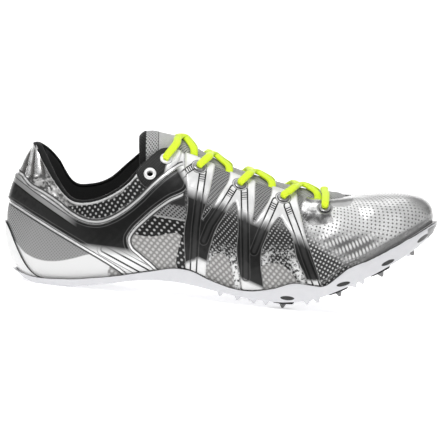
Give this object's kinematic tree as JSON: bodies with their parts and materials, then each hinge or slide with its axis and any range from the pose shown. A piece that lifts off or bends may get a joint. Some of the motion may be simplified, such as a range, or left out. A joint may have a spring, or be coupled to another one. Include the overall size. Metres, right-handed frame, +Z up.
{
  "type": "track spike shoe",
  "caption": "Low track spike shoe with a hollow last-shaped upper, raised side straps, laced throat, white sole with a kicked-up toe, small lugs and steel spikes.",
  "frame": {"origin": "on the floor, under the middle of the flat of the heel", "axes": "+X to the toe, +Y to the medial side of this right shoe, +Z up"},
  "size_m": [0.284, 0.0947, 0.1065],
  "materials": {
    "upper": "silver printed film over mesh",
    "heel_strap": "dark satin film",
    "eyestay_web": "white and black satin film",
    "ankle_tab": "dark satin film",
    "tongue": "grey mesh with a black binding",
    "insole": "black cloth",
    "midsole": "white foam",
    "outsole": "white gloss",
    "spike_pad": "black",
    "spike": "bright steel",
    "eyelet": "grey ring",
    "eyelet_top": "white ring",
    "lace": "neon yellow woven cord"
  },
  "bodies": {
    "root": {"ankle_tab_lateral": "ankle_tab", "ankle_tab_medial": "ankle_tab", "eyelet_lateral_1": "eyelet_top", "eyelet_lateral_2": "eyelet", "eyelet_lateral_3": "eyelet", "eyelet_lateral_4": "eyelet", "eyelet_lateral_5": "eyelet", "eyelet_lateral_spare": "eyelet_top", "eyelet_medial_1": "eyelet_top", "eyelet_medial_2": "eyelet", "eyelet_medial_3": "eyelet", "eyelet_medial_4": "eyelet", "eyelet_medial_5": "eyelet", "eyelet_medial_spare": "eyelet_top", "eyestay_web_lateral": "eyestay_web", "eyestay_web_medial": "eyestay_web", "heel_strap": "heel_strap", "insole": "insole", "lace_bar": "lace", "lace_cross_lower": "lace", "lace_cross_middle": "lace", "lace_cross_top": "lace", "lace_cross_upper": "lace", "midsole": "midsole", "outsole": "outsole", "spike_front_lateral": "spike", "spike_front_medial": "spike", "spike_mid_lateral": "spike", "spike_mid_medial": "spike", "spike_pad_front_lateral": "spike_pad", "spike_pad_front_medial": "spike_pad", "spike_pad_mid_lateral": "spike_pad", "spike_pad_mid_medial": "spike_pad", "spike_pad_rear_lateral": "spike_pad", "spike_pad_rear_medial": "spike_pad", "spike_pad_toe": "spike_pad", "spike_rear_lateral": "spike", "spike_rear_medial": "spike", "spike_toe": "spike", "tongue": "tongue", "upper": "upper"}
  },
  "joints": []
}
